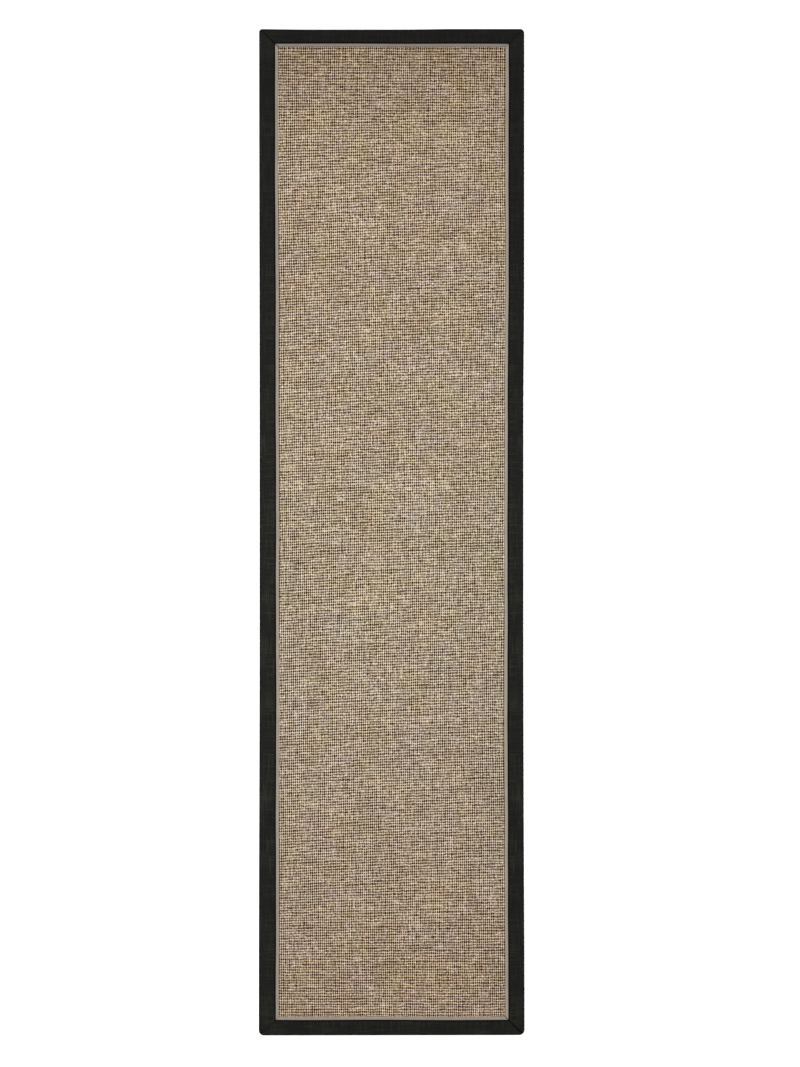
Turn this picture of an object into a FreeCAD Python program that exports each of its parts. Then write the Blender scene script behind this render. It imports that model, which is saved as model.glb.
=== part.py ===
import FreeCAD, Part
import Sketcher
import os

# Runner rug: a woven field on a latex backing, edged with a folded accent tape and a wide canvas
# border that wraps the edge and is glued down underneath.
# Frame: origin at the middle of the underside, +X across the width, +Y along the length towards
# the head end, +Z up through the face. All sizes are in millimetres.

DOC = FreeCAD.newDocument("runner_rug")
SHEET = DOC.addObject("Spreadsheet::Sheet", "Sizes")

SIZES = [
    ("rug_width", 762.0, "overall width, 2 ft 6 in"),
    ("rug_length", 2896.0, "overall length, 9 ft 6 in"),
    ("corner_radius", 12.0, "outer corners in plan"),
    ("fold_radius", 2.0, "outside of the canvas fold round the edge"),
    ("canvas", 0.7, "thickness of the border canvas"),
    ("side_band", 47.0, "border seen from above on the long sides"),
    ("end_band", 43.5, "border seen from above on the ends"),
    ("turn_in", 10.0, "seam allowance of canvas and accent, outwards from the seam"),
    ("slope_run", 16.0, "width over which the canvas drops from the seam ridge to the weave"),
    ("hem_width", 36.0, "canvas turned under the rug"),
    ("hem_gap", 0.5, "space between the hem's raw edge and the thick part of the backing"),
    ("glue_ply", 0.2, "hot-melt strip between hem and backing"),
    ("glue_start", 8.0, "outer edge of the glue strip, in from the rug's edge"),
    ("glue_width", 22.0, "width of the glue strip"),
    ("glue_end_gap", 40.0, "glue strip ends this far from the rug's ends"),
    ("backing_ply", 1.4, "latex backing over the hems"),
    ("weave_ply", 4.7, "woven field"),
    ("accent_show", 9.0, "accent tape seen inside the border"),
    ("accent_ply", 0.9, "accent tape folded double"),
    ("accent_edge", 0.4, "rounding of the accent's folded edge"),
    ("thread", 0.5, "diameter of the seam thread"),
    ("seam_inset", 0.9, "seam thread's axis, outwards from the visible seam"),
    ("bobbin_lift", 0.02, "space between the bobbin thread and the floor"),
    ("groove_width", 0.6, "channel that the bobbin thread beds into"),
    ("groove_spare", 0.05, "depth of that channel beyond the thread"),
    ("corner_thread", 0.4, "diameter of the hand stitches in the mitres"),
    ("corner_stitch", 3.0, "length of one hand stitch across a mitre"),
    ("stitch_pitch", 6.0, "spacing of the hand stitches, measured across the border"),
    ("overcut", 1.0, "how far a cutting block reaches past what it cuts"),
    ("wedge_height", 20.0, "height of the blocks that part the ring at its mitres"),
]

for row, (alias, value, meaning) in enumerate(SIZES, start=1):
    SHEET.set(f"A{row}", meaning)
    SHEET.set(f"B{row}", str(value))
    SHEET.setAlias(f"B{row}", alias)
DOC.recompute()

# Levels above the floor and insets from the rug's edge, as expressions on the sheet.
HEM_TOP = "Sizes.canvas"
GLUE_TOP = f"({HEM_TOP} + Sizes.glue_ply)"
BACKING_TOP = f"({GLUE_TOP} + Sizes.backing_ply)"
WEAVE_TOP = f"({BACKING_TOP} + Sizes.weave_ply)"
ACCENT_TOP = f"({WEAVE_TOP} + Sizes.accent_ply)"
TURN_IN_TOP = f"({ACCENT_TOP} + Sizes.canvas)"
SEAM_TOP = f"({TURN_IN_TOP} + Sizes.canvas)"
BAND_TOP = f"({WEAVE_TOP} + Sizes.canvas)"
SIDE_TURN = "(Sizes.side_band - Sizes.turn_in)"
END_TURN = "(Sizes.end_band - Sizes.turn_in)"
SIDE_ACCENT = "(Sizes.side_band + Sizes.accent_show)"
END_ACCENT = "(Sizes.end_band + Sizes.accent_show)"
EDGE_SIGNS = {"left": (-1, 0), "right": (1, 0), "head": (0, 1), "foot": (0, -1)}

# Two places nearer than this are the same place.
TOUCH = 1e-6


def bind(obj, **expressions):
    """Binds properties of obj to expressions; a double underscore in a name stands for a dot."""
    for name, expression in expressions.items():
        obj.setExpression(name.replace("__", "."), expression)
    return obj


def place(obj, x="0", y="0", z="0"):
    """Binds where obj stands."""
    return bind(
        obj,
        Placement__Base__x=x,
        Placement__Base__y=y,
        Placement__Base__z=z,
    )


def level_plane(body):
    """The body's own level origin plane."""
    return next(f for f in body.Origin.OriginFeatures if f.Role == "XY_Plane")


def new_sketch(body, name, z="0"):
    """An empty sketch on the body's own level plane, raised to height z."""
    sketch = body.newObject("Sketcher::SketchObject", name)
    sketch.AttachmentSupport = (level_plane(body), [""])
    sketch.MapMode = "FlatFace"
    sketch.setExpression("AttachmentOffset.Base.z", z)
    return sketch


def add_centred_rectangle(sketch, tag, width, length):
    """Draws a rectangle about the sketch's origin, its sizes bound to two expressions."""
    half_x = SHEET.rug_width / 2
    half_y = SHEET.rug_length / 2
    corners = [
        FreeCAD.Vector(x, y, 0)
        for x, y in ((-half_x, -half_y), (half_x, -half_y), (half_x, half_y), (-half_x, half_y))
    ]
    lines = [
        sketch.addGeometry(Part.LineSegment(corners[i], corners[(i + 1) % 4]), False)
        for i in range(4)
    ]
    for i in range(4):
        sketch.addConstraint(Sketcher.Constraint("Coincident", lines[i], 2, lines[(i + 1) % 4], 1))
    for i, way in enumerate(("Horizontal", "Vertical", "Horizontal", "Vertical")):
        sketch.addConstraint(Sketcher.Constraint(way, lines[i]))
    sketch.addConstraint(Sketcher.Constraint("Symmetric", lines[0], 1, lines[2], 1, -1, 1))
    for way, line, size, suffix in (
        ("DistanceX", lines[0], width, "width"),
        ("DistanceY", lines[1], length, "length"),
    ):
        start = 2 * half_x if suffix == "width" else 2 * half_y
        index = sketch.addConstraint(Sketcher.Constraint(way, line, 1, line, 2, start))
        sketch.renameConstraint(index, f"{tag}_{suffix}")
        sketch.setExpression(f"Constraints.{tag}_{suffix}", size)


def inset_size(side, end):
    """Width and length of a rectangle that lies side and end in from the rug's edges."""
    return f"Sizes.rug_width - 2 * {side}", f"Sizes.rug_length - 2 * {end}"


def pad(body, name, sketch, length, downwards=False):
    """Adds a pad of a sketch, upwards unless told otherwise."""
    feature = body.newObject("PartDesign::Pad", name)
    feature.Profile = sketch
    feature.Reversed = downwards
    bind(feature, Length=length)
    DOC.recompute()
    return feature


def round_edges(body, name, base, radius, wanted):
    """Fillets the edges of base for which wanted(edge) is true."""
    found = [f"Edge{i}" for i, edge in enumerate(base.Shape.Edges, start=1) if wanted(edge)]
    feature = body.newObject("PartDesign::Fillet", name)
    feature.Base = (base, found)
    bind(feature, Radius=radius)
    DOC.recompute()
    return feature


def is_upright(edge):
    box = edge.BoundBox
    return box.ZLength > box.XLength + box.YLength


def lies_at(z):
    """A test for edges that lie flat at a height."""

    def test(edge):
        box = edge.BoundBox
        return abs(box.ZMin - z) < TOUCH and abs(box.ZMax - z) < TOUCH

    return test


def rounded_plate(name, inset, bottom, height, radius, folds=()):
    """A plate with rounded corners. folds pairs a rounding radius with True for top, False for bottom."""
    body = DOC.addObject("PartDesign::Body", name)
    sketch = new_sketch(body, f"{name}_outline", bottom)
    add_centred_rectangle(sketch, "plate", *inset_size(inset, inset))
    tip = pad(body, f"{name}_pad", sketch, height)
    tip = round_edges(body, f"{name}_corners", tip, radius, is_upright)
    for fold_radius, at_top in folds:
        box = tip.Shape.BoundBox
        level = box.ZMax if at_top else box.ZMin
        end = "top" if at_top else "bottom"
        tip = round_edges(body, f"{name}_{end}_fold", tip, fold_radius, lies_at(level))
    return body


def inset_box(name, side, end, bottom, top):
    """A plain box whose sides lie side and end in from the rug's edges."""
    box = DOC.addObject("Part::Box", name)
    width, length = inset_size(side, end)
    bind(box, Length=width, Width=length, Height=f"{top} - {bottom}")
    return place(box, f"-({width}) / 2", f"-({length}) / 2", bottom)


def inset_frustum(name, bottom, top, drop):
    """A flat-topped hill: the canvas slope, ending at the seam allowance, lowered by drop."""
    wedge = DOC.addObject("Part::Wedge", name)
    low_side, low_end = (f"({edge} - Sizes.slope_run)" for edge in (SIDE_TURN, END_TURN))
    low_x, low_y = (f"Sizes.rug_width / 2 - {low_side}", f"Sizes.rug_length / 2 - {low_end}")
    high_x, high_y = (f"Sizes.rug_width / 2 - {SIDE_TURN}", f"Sizes.rug_length / 2 - {END_TURN}")
    bind(
        wedge,
        Xmin=f"-({low_x})",
        Xmax=low_x,
        Zmin=f"-({low_y})",
        Zmax=low_y,
        X2min=f"-({high_x})",
        X2max=high_x,
        Z2min=f"-({high_y})",
        Z2max=high_y,
        Ymax=f"{top} - {bottom}",
    )
    wedge.Ymin = 0
    wedge.Placement.Rotation = FreeCAD.Rotation(FreeCAD.Vector(1, 0, 0), 90)
    return place(wedge, z=f"{bottom} - {drop}")


def fuse(name, *shapes):
    feature = DOC.addObject("Part::MultiFuse", name)
    feature.Shapes = list(shapes)
    feature.Refine = True
    return feature


def cut(name, base, tool):
    feature = DOC.addObject("Part::Cut", name)
    feature.Base = base
    feature.Tool = tool
    feature.Refine = True
    return feature


def common(name, base, tool):
    feature = DOC.addObject("Part::Common", name)
    feature.Base = base
    feature.Tool = tool
    return feature


def compound(name, members):
    feature = DOC.addObject("Part::Compound", name)
    feature.Links = members
    return feature


def make_woven_field():
    """The woven cloth: full size less the canvas round its edge."""
    inner = "Sizes.fold_radius - Sizes.canvas"
    return rounded_plate(
        "woven_field",
        "Sizes.canvas",
        BACKING_TOP,
        "Sizes.weave_ply",
        "Sizes.corner_radius - Sizes.canvas",
        [(inner, True)],
    )


def make_latex_backing():
    """The backing: thin over the hems, down to the floor between them, with a channel that the
    bobbin thread beds into."""
    inner = "Sizes.fold_radius - Sizes.canvas"
    body = rounded_plate(
        "latex_backing",
        "Sizes.canvas",
        GLUE_TOP,
        "Sizes.backing_ply",
        "Sizes.corner_radius - Sizes.canvas",
        [(inner, False)],
    )
    middle = new_sketch(body, "floor_area", GLUE_TOP)
    hem = "(Sizes.hem_width + Sizes.hem_gap)"
    add_centred_rectangle(middle, "floor", *inset_size(hem, hem))
    floor_pad = pad(body, "floor_pad", middle, GLUE_TOP, downwards=True)
    uncut_volume = floor_pad.Shape.Volume
    channel = new_sketch(body, "bobbin_channel")
    for tag, sign in (("outer", "-"), ("inner", "+")):
        side, end = (
            f"({band} - Sizes.seam_inset {sign} Sizes.groove_width / 2)"
            for band in ("Sizes.side_band", "Sizes.end_band")
        )
        add_centred_rectangle(channel, tag, *inset_size(side, end))
    groove = body.newObject("PartDesign::Pocket", "bobbin_groove")
    groove.Profile = channel
    groove.Reversed = True
    bind(groove, Length="Sizes.thread + Sizes.groove_spare")
    DOC.recompute()
    if not groove.Shape.Volume < uncut_volume:
        raise RuntimeError("the bobbin channel cuts nothing")
    return body


def make_border_ring():
    """All four lengths of canvas in one, before the mitres part them."""
    inner_radius = "Sizes.fold_radius - Sizes.canvas"
    outer = rounded_plate(
        "border_outside",
        "0",
        "0",
        BAND_TOP,
        "Sizes.corner_radius",
        [("Sizes.fold_radius", True), ("Sizes.fold_radius", False)],
    )
    core = rounded_plate(
        "border_inside",
        "Sizes.canvas",
        HEM_TOP,
        f"{WEAVE_TOP} - {HEM_TOP}",
        "Sizes.corner_radius - Sizes.canvas",
        [(inner_radius, True), (inner_radius, False)],
    )
    ridge = inset_frustum("border_slope", BAND_TOP, SEAM_TOP, "0")
    hollow = inset_frustum("border_slope_underside", BAND_TOP, SEAM_TOP, "Sizes.canvas")
    face_window = inset_box(
        "face_window", "Sizes.side_band", "Sizes.end_band", WEAVE_TOP, f"({SEAM_TOP} + Sizes.overcut)"
    )
    hem_window = inset_box(
        "hem_window", "Sizes.hem_width", "Sizes.hem_width", "-Sizes.overcut", GLUE_TOP
    )
    skin = cut(
        "border_skin",
        fuse("border_block", outer, ridge),
        fuse("border_hollow", core, hollow, face_window, hem_window),
    )
    turned = cut(
        "turned_in_ply",
        inset_box("turned_in_outer", SIDE_TURN, END_TURN, ACCENT_TOP, TURN_IN_TOP),
        inset_box(
            "turned_in_inner",
            "Sizes.side_band",
            "Sizes.end_band",
            WEAVE_TOP,
            f"({SEAM_TOP} + Sizes.overcut)",
        ),
    )
    return fuse("border_ring", skin, turned)


def make_accent_ring():
    """All four lengths of folded accent tape in one, before the mitres part them."""
    body = DOC.addObject("PartDesign::Body", "accent_ring")
    sketch = new_sketch(body, "accent_outline", WEAVE_TOP)
    add_centred_rectangle(sketch, "tail", *inset_size(SIDE_TURN, END_TURN))
    add_centred_rectangle(sketch, "fold", *inset_size(SIDE_ACCENT, END_ACCENT))
    tape = pad(body, "accent_pad", sketch, "Sizes.accent_ply")
    fold_x = SHEET.rug_width / 2 - SHEET.side_band - SHEET.accent_show
    fold_y = SHEET.rug_length / 2 - SHEET.end_band - SHEET.accent_show

    def on_fold(edge):
        box = edge.BoundBox
        return (
            not is_upright(edge)
            and max(abs(box.XMin), abs(box.XMax)) < fold_x + TOUCH
            and max(abs(box.YMin), abs(box.YMax)) < fold_y + TOUCH
        )

    round_edges(body, "accent_fold", tape, "Sizes.accent_edge", on_fold)
    return body


def make_mitre_wedge(edge):
    """A block that holds one edge's length of border and accent, up to its two 45 degree mitres.
    The mitres run out from the visible corner of the seam."""
    sign_x, sign_y = EDGE_SIGNS[edge]
    half_x, half_y = (SHEET.rug_width / 2, SHEET.rug_length / 2)
    seam_x, seam_y = (half_x - SHEET.side_band, half_y - SHEET.end_band)
    reach = SHEET.side_band + SHEET.end_band
    far, near = (reach, -2 * SHEET.accent_show)
    points = []
    for out, way in ((near, -1), (far, -1), (far, 1), (near, 1)):
        if sign_x:
            points.append((sign_x * (seam_x + out), way * (seam_y + out)))
        else:
            points.append((way * (seam_x + out), sign_y * (seam_y + out)))
    ring = [FreeCAD.Vector(x, y, -SHEET.overcut) for x, y in points]
    wedge = DOC.addObject("Part::Feature", f"mitre_wedge_{edge}")
    face = Part.Face(Part.makePolygon(ring + ring[:1]))
    wedge.Shape = face.extrude(FreeCAD.Vector(0, 0, SHEET.wedge_height))
    return wedge


def thread_along(name, edge, height):
    """A straight thread along one edge's seam, from mitre to mitre, its axis at a height."""
    sign_x, sign_y = EDGE_SIGNS[edge]
    rod = DOC.addObject("Part::Cylinder", name)
    side = "Sizes.side_band - Sizes.seam_inset"
    end = "Sizes.end_band - Sizes.seam_inset"
    across = f"Sizes.rug_width / 2 - ({side}) - Sizes.thread"
    along = f"Sizes.rug_length / 2 - ({end}) - Sizes.thread"
    bind(rod, Radius="Sizes.thread / 2", Height=f"2 * ({along if sign_x else across})")
    if sign_x:
        rod.Placement.Rotation = FreeCAD.Rotation(FreeCAD.Vector(1, 0, 0), -90)
        return place(rod, f"{sign_x} * (Sizes.rug_width / 2 - ({side}))", f"-({along})", height)
    rod.Placement.Rotation = FreeCAD.Rotation(FreeCAD.Vector(0, 1, 0), 90)
    return place(rod, f"-({across})", f"{sign_y} * (Sizes.rug_length / 2 - ({end}))", height)


def canvas_middle(inset):
    """Height of the middle of the top ply of canvas, that far in from a long edge, in millimetres."""
    s = SHEET
    weave_top = s.canvas + s.glue_ply + s.backing_ply + s.weave_ply
    rise = s.accent_ply + s.canvas
    slope_end = s.side_band - s.turn_in
    share = (inset - (slope_end - s.slope_run)) / s.slope_run
    return weave_top + s.canvas / 2 + rise * min(max(share, 0.0), 1.0)


def make_corner_stitches(name, sign_x, sign_y):
    """The ladder stitches that close one mitre: short threads across it, inside the face ply and
    inside the hem ply."""
    rows = []
    first = SHEET.corner_radius
    face_count = int((SHEET.side_band - first) / SHEET.stitch_pitch)
    hem_count = int((SHEET.hem_width - first) / SHEET.stitch_pitch)
    levels = [(i, canvas_middle(first + i * SHEET.stitch_pitch)) for i in range(face_count)]
    levels += [(i, SHEET.canvas / 2) for i in range(hem_count)]
    for number, (i, height) in enumerate(levels):
        stitch = DOC.addObject("Part::Cylinder", f"{name}_{number}")
        bind(stitch, Radius="Sizes.corner_thread / 2", Height="Sizes.corner_stitch")
        direction = FreeCAD.Vector(sign_x, -sign_y, 0)
        stitch.Placement.Rotation = FreeCAD.Rotation(FreeCAD.Vector(0, 0, 1), direction)
        inset = f"(Sizes.corner_radius + {i} * Sizes.stitch_pitch)"
        shift = "Sizes.corner_stitch / 2 / sqrt(2)"
        x = f"{sign_x} * (Sizes.rug_width / 2 - {inset} - {shift})"
        across = f"({inset} - Sizes.side_band + Sizes.end_band)"
        y = f"{sign_y} * (Sizes.rug_length / 2 - {across} + {shift})"
        rows.append(place(stitch, x, y, f"{height}"))
    return compound(name, rows)


def make_glue_strip(name, edge):
    """The hot-melt strip that holds one hem to the backing."""
    sign_x, sign_y = EDGE_SIGNS[edge]
    strip = DOC.addObject("Part::Box", name)
    free = "2 * Sizes.glue_end_gap"
    size = "Sizes.rug_length" if sign_x else "Sizes.rug_width"
    run = f"({size} - {free})"
    middle = "Sizes.glue_start + Sizes.glue_width / 2"
    if sign_x:
        bind(strip, Length="Sizes.glue_width", Width=run)
        x = f"{sign_x} * (Sizes.rug_width / 2 - ({middle})) - Sizes.glue_width / 2"
        y = f"-{run} / 2"
    else:
        bind(strip, Length=run, Width="Sizes.glue_width")
        x = f"-{run} / 2"
        y = f"{sign_y} * (Sizes.rug_length / 2 - ({middle})) - Sizes.glue_width / 2"
    bind(strip, Height="Sizes.glue_ply")
    return place(strip, x, y, HEM_TOP)


def main():
    parts = {}
    parts["woven_field"] = make_woven_field()
    parts["latex_backing"] = make_latex_backing()

    needles = []
    for edge in EDGE_SIGNS:
        needle = thread_along(f"needle_thread_{edge}", edge, TURN_IN_TOP)
        bobbin = thread_along(f"bobbin_thread_{edge}", edge, "Sizes.thread / 2 + Sizes.bobbin_lift")
        needles.append(needle)
        parts[f"seam_thread_{edge}"] = compound(f"seam_thread_{edge}", [needle, bobbin])

    corners = []
    for across, sign_x in (("left", -1), ("right", 1)):
        for along, sign_y in (("head", 1), ("foot", -1)):
            name = f"corner_stitches_{along}_{across}"
            parts[name] = make_corner_stitches(name, sign_x, sign_y)
            corners.append(parts[name])

    sewn = cut("border_with_stitch_holes", make_border_ring(), compound("threads", needles + corners))
    accent = make_accent_ring()
    for edge in EDGE_SIGNS:
        wedge = make_mitre_wedge(edge)
        parts[f"border_{edge}"] = common(f"border_{edge}", sewn, wedge)
        parts[f"accent_{edge}"] = common(f"accent_{edge}", accent, wedge)
        parts[f"hem_glue_{edge}"] = make_glue_strip(f"hem_glue_{edge}", edge)
    DOC.recompute()

    failed = [o.Name for o in DOC.Objects if "Invalid" in o.State or "Error" in o.State]
    if failed:
        raise RuntimeError(f"these objects failed: {failed}")
    os.makedirs("parts", exist_ok=True)
    for name, obj in parts.items():
        obj.Label = name
        shape = obj.Shape
        if shape.isNull() or not shape.isValid() or not shape.Solids:
            raise RuntimeError(f"{name} has no valid solid")
        shape.exportStep(os.path.join("parts", f"{name}.step"))
        box = shape.BoundBox
        print(
            f"{name}: {len(shape.Solids)} solid(s), {shape.Volume / 1000:.2f} cm3, "
            f"z {box.ZMin:.2f} to {box.ZMax:.2f}"
        )


main()
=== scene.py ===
"""Runner rug: woven sisal-coloured face, folded taupe accent tape and a black canvas border that
wraps the edge and is turned under. Metres, in the CAD frame: +X across, +Y along, +Z up."""

import math
from functools import cache

import bpy
import numpy as np
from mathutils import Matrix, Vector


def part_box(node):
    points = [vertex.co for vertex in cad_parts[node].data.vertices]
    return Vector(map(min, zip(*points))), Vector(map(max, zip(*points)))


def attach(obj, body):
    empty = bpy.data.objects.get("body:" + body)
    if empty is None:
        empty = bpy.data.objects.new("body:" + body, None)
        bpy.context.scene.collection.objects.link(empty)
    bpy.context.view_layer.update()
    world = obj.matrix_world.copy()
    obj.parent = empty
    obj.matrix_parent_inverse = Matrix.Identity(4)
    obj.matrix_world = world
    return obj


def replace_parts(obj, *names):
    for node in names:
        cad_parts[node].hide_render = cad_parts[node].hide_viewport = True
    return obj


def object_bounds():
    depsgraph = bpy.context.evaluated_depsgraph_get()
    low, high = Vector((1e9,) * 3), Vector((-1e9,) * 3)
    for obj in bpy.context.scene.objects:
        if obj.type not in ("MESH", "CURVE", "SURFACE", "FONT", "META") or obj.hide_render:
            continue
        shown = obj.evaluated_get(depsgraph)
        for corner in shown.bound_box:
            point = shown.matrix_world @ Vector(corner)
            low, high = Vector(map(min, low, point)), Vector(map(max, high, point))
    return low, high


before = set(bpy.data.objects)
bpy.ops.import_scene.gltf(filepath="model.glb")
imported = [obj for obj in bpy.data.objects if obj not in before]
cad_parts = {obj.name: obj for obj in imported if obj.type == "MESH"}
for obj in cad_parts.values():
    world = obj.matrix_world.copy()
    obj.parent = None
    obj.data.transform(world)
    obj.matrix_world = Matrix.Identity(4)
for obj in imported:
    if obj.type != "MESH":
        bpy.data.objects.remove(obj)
cad_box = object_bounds()

MM = 0.001
SIDES = ("left", "right")
EDGES = (*SIDES, "head", "foot")

# Sizes read from the frame.
HALF_WIDTH = cad_box[1].x
HALF_LENGTH = cad_box[1].y
SEAM_TOP = cad_box[1].z
WEAVE_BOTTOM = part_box("woven_field")[0].z
WEAVE_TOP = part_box("woven_field")[1].z
BACKING_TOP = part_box("latex_backing")[1].z
ACCENT_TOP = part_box("accent_left")[1].z
HEM_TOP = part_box("hem_glue_left")[0].z
GLUE_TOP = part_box("hem_glue_left")[1].z
SIDE_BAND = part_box("border_left")[1].x + HALF_WIDTH
END_BAND = HALF_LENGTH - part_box("border_head")[0].y
ACCENT_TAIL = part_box("accent_left")[0].x + HALF_WIDTH
ACCENT_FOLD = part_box("accent_left")[1].x + HALF_WIDTH
seam_low, seam_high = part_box("seam_thread_left")
SEAM_LINE = (seam_low.x + seam_high.x) / 2 + HALF_WIDTH
THREAD = seam_high.x - seam_low.x
BOBBIN_BOTTOM = seam_low.z

# One thickness of tape, and of canvas, and how the canvas lies.
ACCENT_PLY = (ACCENT_TOP - WEAVE_TOP) / 2.0 - 0.04 * MM
CANVAS = HEM_TOP
BAND_NARROWING = SIDE_BAND - END_BAND
FOLD_RADIUS = 3.0 * MM
HEM_WIDTH = 36.0 * MM
SLOPE_START = 18.5 * MM
SLOPE_END = ACCENT_TAIL

# The four corners aren't alike: each has its own radius and its own depth of crease at the mitre.
CORNER_RADIUS = {
    "head_left": 8.0 * MM,
    "head_right": 12.0 * MM,
    "foot_left": 14.0 * MM,
    "foot_right": 15.0 * MM,
}
CORNERS = tuple(CORNER_RADIUS)
MITRE_DEPTH = {
    "head_left": 1.2 * MM,
    "head_right": 0.6 * MM,
    "foot_left": 0.7 * MM,
    "foot_right": 2.0 * MM,
}

# How dark the painted shade in each mitre's crease is, at the rug's corner and at its inner end.
MITRE_SHADE = {
    "head_left": (0.1, 1.7),
    "head_right": (0.8, 0.5),
    "foot_left": (0.6, 0.4),
    "foot_right": (2.3, 1.3),
}

# The four lengths of tape come from a dye lot that isn't quite even.
TAPE_TONE = {"left": 0.98, "right": 1.08, "head": 0.70, "foot": 0.97}

# Each length of canvas has its own tone, times painted light that changes along the rug, brightest in
# the middle, given as (share of the rug's length, tone).
CANVAS_TONE = {"left": 1.05, "right": 0.95, "head": 0.92, "foot": 1.00}
CANVAS_PAINTED_LIGHT = ((0.15, 0.91), (0.50, 1.26), (0.85, 0.63))

# How much the roll of each tape's fold is in shade.
TAPE_ROLL = {"left": 0.30, "right": 0.25, "head": 0.50, "foot": 0.25}

# Half the length of the edge that each strip follows.
HALF_RUN = {"left": HALF_LENGTH, "right": HALF_LENGTH, "head": HALF_WIDTH, "foot": HALF_WIDTH}

# Strips are meshed this finely along their edge, near their mitred ends and between them.
FINE_STATION = 1.0 * MM
STATION = 4.0 * MM

# Cloth and backing stop a little short of the canvas fold, with rounded corners inside it.
CLOTH_INSET = 1.5 * MM
CLOTH_HALF_X = HALF_WIDTH - CLOTH_INSET
CLOTH_HALF_Y = HALF_LENGTH - CLOTH_INSET
HIDDEN_CORNER = 16.0 * MM

# The weave: columns of warp and rows of weft. Four mesh lines run along a yarn, at these shares of
# its pitch.
COLUMN_PITCH = 6.0 * MM
ROW_PITCH = 7.77 * MM
WARP_SAMPLES = np.array([0.15, 0.37, 0.63, 0.85])
WEFT_SAMPLES = np.array([0.14, 0.35, 0.65, 0.86])

# A yarn's width, as a share of its pitch, and how much it varies in slubs, short lengths and patches.
WARP_WIDTH = 0.60
WEFT_WIDTH = 0.676
WARP_UNEVEN = (0.021, 0.028, 0.007)
WEFT_UNEVEN = (0.026, 0.031, 0.009)

# How long a yarn's slubs, short lengths and drifts are, in the yarns that cross it.
WARP_LENGTHS = (8.0, 1.3, 3.0)
WEFT_LENGTHS = (13.0, 1.8, 3.0)

# How thick the yarns are, how far they go up and down, and how deep the holes between them are.
WEFT_HALF_THICK = 1.05 * MM
WARP_HALF_THICK = 1.10 * MM
CRIMP = 0.85 * MM
CROWN = CRIMP + WARP_HALF_THICK
PIT_FLOOR = 3.6 * MM

# How far a yarn strays sideways, in long sways and in short shakes, and at most.
ROW_STRAY = (0.38 * MM, 0.60 * MM)
COLUMN_STRAY = (0.28 * MM, 0.45 * MM)
MOST_STRAY = 0.85 * MM

# Light reaches a yarn that dips between its neighbours better than it reaches the holes.
LIT_CRIMP = 0.74

# The tape's fold presses the yarns down beside it, and the line there stays in shade.
PRESSED_WIDTH = 3.2 * MM
PRESSED_DEPTH = 0.5 * MM
PRESSED_SHADE = 0.21
HEAD_PRESSED_SHADE = 0.27
# Where the border hides the cloth, it is painted dark as painted shade.
HIDDEN_SHADE = 0.85

# Each strip's surface is laid out for baking in this many lengths.
BAKE_SHELVES = 4

# Under each mitre the cloth is pinched down to make room for the canvas's crease.
MITRE_RELIEF = 2.6 * MM
MITRE_RELIEF_WIDTH = 20.0 * MM

THREAD_SIDES = 6
STITCH_PITCH = 5.0 * MM


def joined(*parts):
    """Coordinates put together along a new last axis."""
    return np.stack(parts, axis=-1)


def smoothstep(low, high, value):
    """An eased rise: 0 up to low, 1 from high on."""
    share = np.clip((value - low) / (high - low), 0.0, 1.0)
    return share * share * (3.0 - 2.0 * share)


def fall(low, high, value):
    """The other way round: 1 up to low, 0 from high on."""
    return 1.0 - smoothstep(low, high, value)


def between_knots(positions, step):
    """The knot before each position, and the eased share of the way on; knots are step apart."""
    places = (positions - positions.min()) / step
    index = places.astype(int)
    return index, smoothstep(0.0, 1.0, places - index)


def line_noise(rng, lines, positions, step):
    """For each line, a smooth random curve read at the positions."""
    index, share = between_knots(positions, step)
    knots = rng.standard_normal((lines, index.max() + 3))
    return knots[:, index] * (1.0 - share) + knots[:, index + 1] * share


def patch_noise(rng, rows, columns, row_step, column_step):
    """Smooth random patches, read at rows by columns."""
    index, share = between_knots(rows, row_step)
    along = line_noise(rng, index.max() + 3, columns, column_step)
    share = share[:, None]
    return along[index] * (1.0 - share) + along[index + 1] * share


# How the finished rug has pulled a little out of true. Applied to every made piece alike.


def wander(position, waves):
    """A sum of sine waves, each (size in millimetres, wavelength in metres, phase)."""
    total = 0.0
    for size, wavelength, phase in waves:
        total += size * MM * np.sin(2.0 * math.pi * position / wavelength + phase)
    return total


def near_seam(inset):
    """1 round the border's seam, 0 at the rug's edge and well inside the field."""
    rise = smoothstep(0.0, SLOPE_END, inset)
    return rise * fall(ACCENT_FOLD, 3.5 * ACCENT_FOLD, inset)


def near_edge(inset):
    """1 at the rug's edge, 0 at the border's seam."""
    return fall(0.2 * SLOPE_END, SLOPE_END, inset)


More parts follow.
